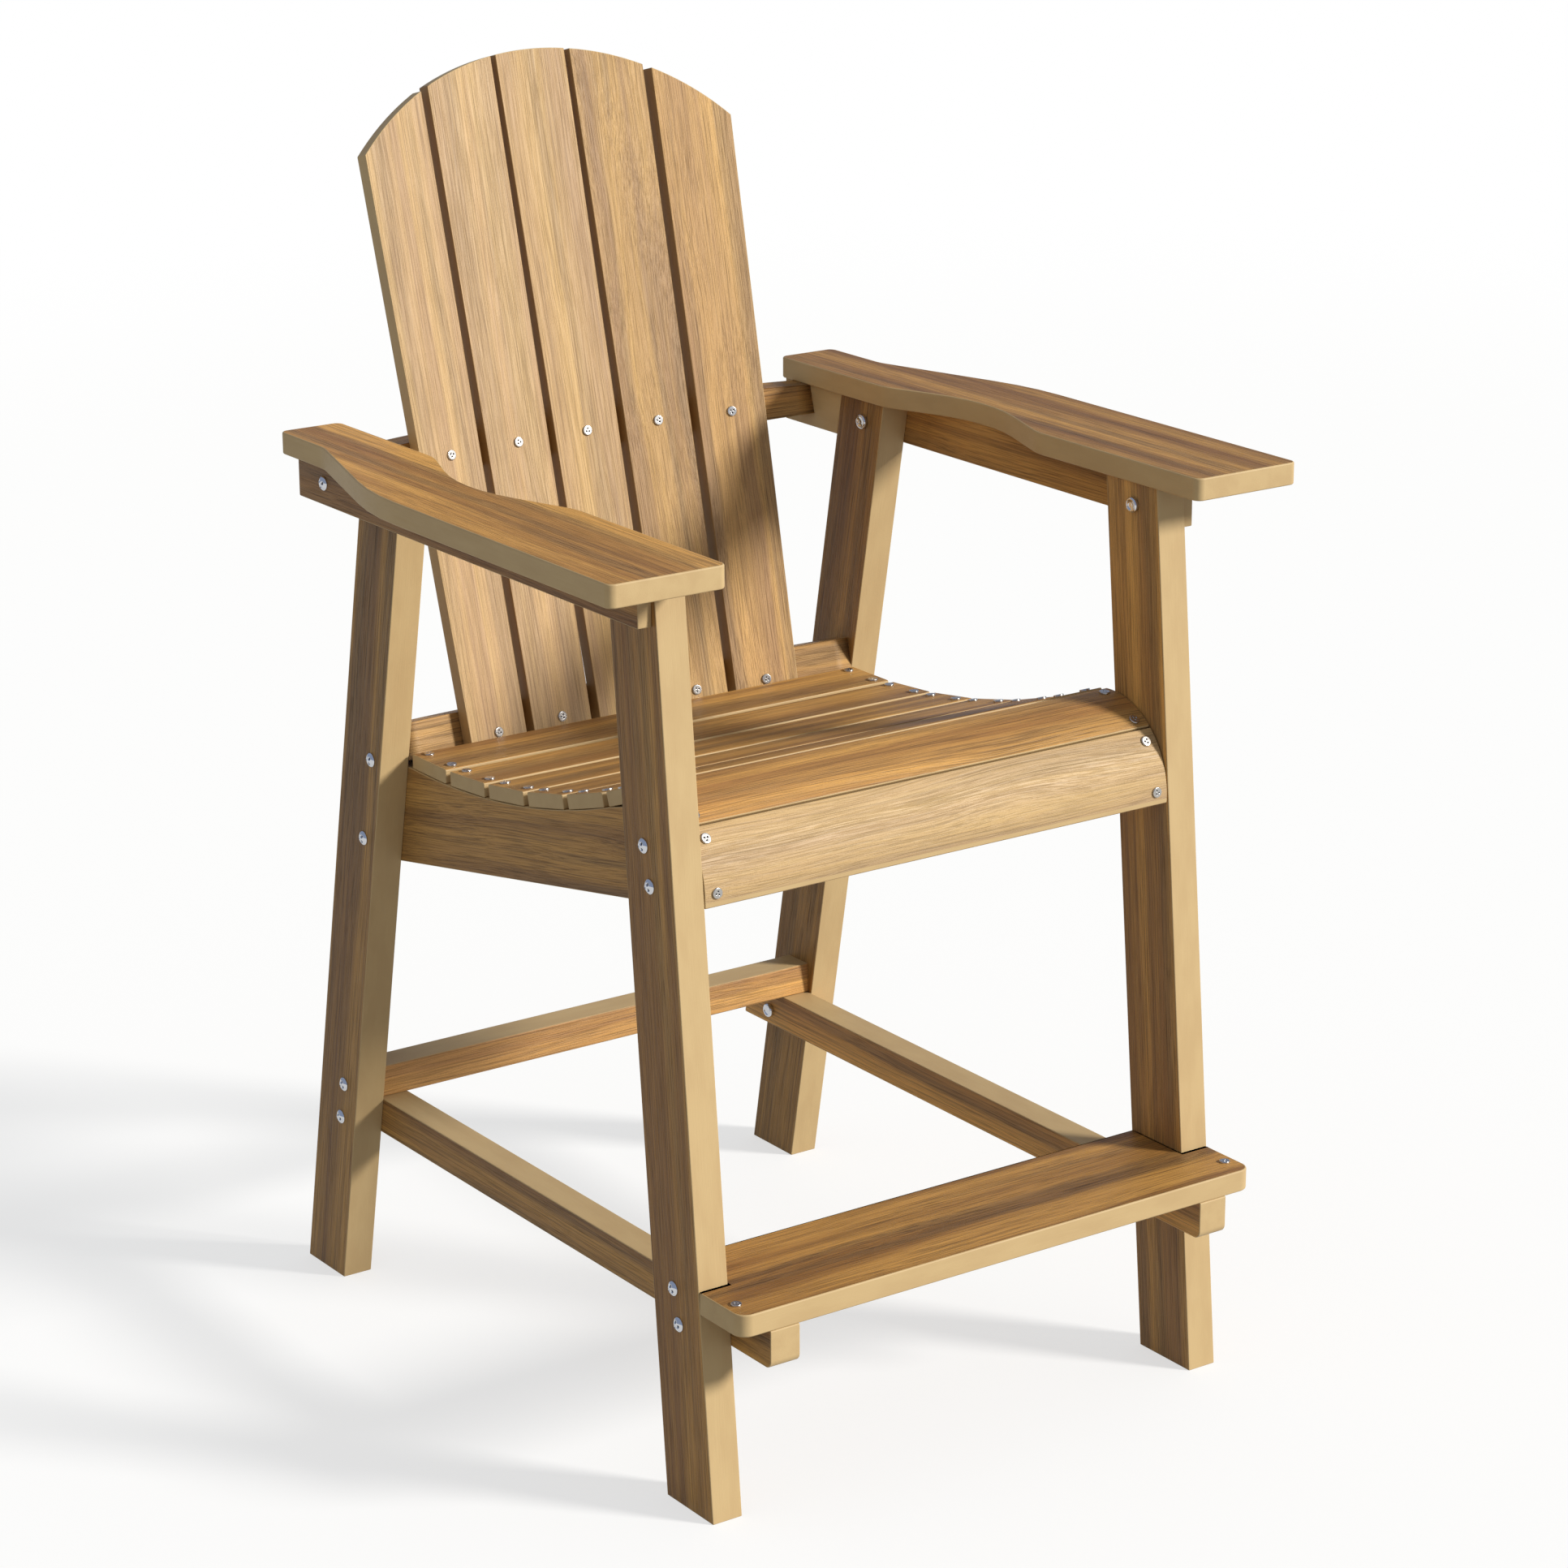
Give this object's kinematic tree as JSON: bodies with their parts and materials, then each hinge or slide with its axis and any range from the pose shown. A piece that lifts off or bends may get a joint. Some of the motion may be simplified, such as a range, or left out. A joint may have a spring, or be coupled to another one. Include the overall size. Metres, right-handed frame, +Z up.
{
  "type": "tall outdoor armchair",
  "caption": "Tall slatted outdoor armchair with a hollowed seat, fanned reclining back, contoured armrests and a fixed footrest.",
  "frame": {"origin": "on the floor, under the centre of the chair's bounding box", "axes": "+Z up, -Y the way the sitter faces, +X to the sitter's left"},
  "size_m": [0.742, 0.7835, 1.1876],
  "materials": {
    "lumber": "solid plastic lumber with a streaked wood grain on its wide faces and plain tan edges, satin",
    "stainless": "bright stainless fasteners, smooth"
  },
  "bodies": {
    "root": {"front_leg_left": "lumber", "front_leg_right": "lumber", "rear_leg_left": "lumber", "rear_leg_right": "lumber", "side_stretcher_left": "lumber", "side_stretcher_right": "lumber", "rear_stretcher": "lumber", "footrest_board": "lumber", "seat_rail_left": "lumber", "seat_rail_right": "lumber", "seat_slat_1": "lumber", "seat_slat_2": "lumber", "seat_slat_3": "lumber", "seat_slat_4": "lumber", "seat_slat_5": "lumber", "seat_slat_6": "lumber", "seat_front_slat": "lumber", "seat_apron": "lumber", "back_slat_1": "lumber", "back_slat_2": "lumber", "back_slat_3": "lumber", "back_slat_4": "lumber", "back_slat_5": "lumber", "back_lower_rail": "lumber", "back_upper_rail": "lumber", "arm_rail_left": "lumber", "arm_rail_right": "lumber", "arm_block_left": "lumber", "arm_block_right": "lumber", "armrest_left": "lumber", "armrest_right": "lumber", "bolts_left": "stainless", "bolts_right": "stainless", "cap_nuts_left": "stainless", "cap_nuts_right": "stainless", "seat_screws": "stainless", "back_screws": "stainless", "footrest_screws": "stainless"}
  },
  "joints": []
}
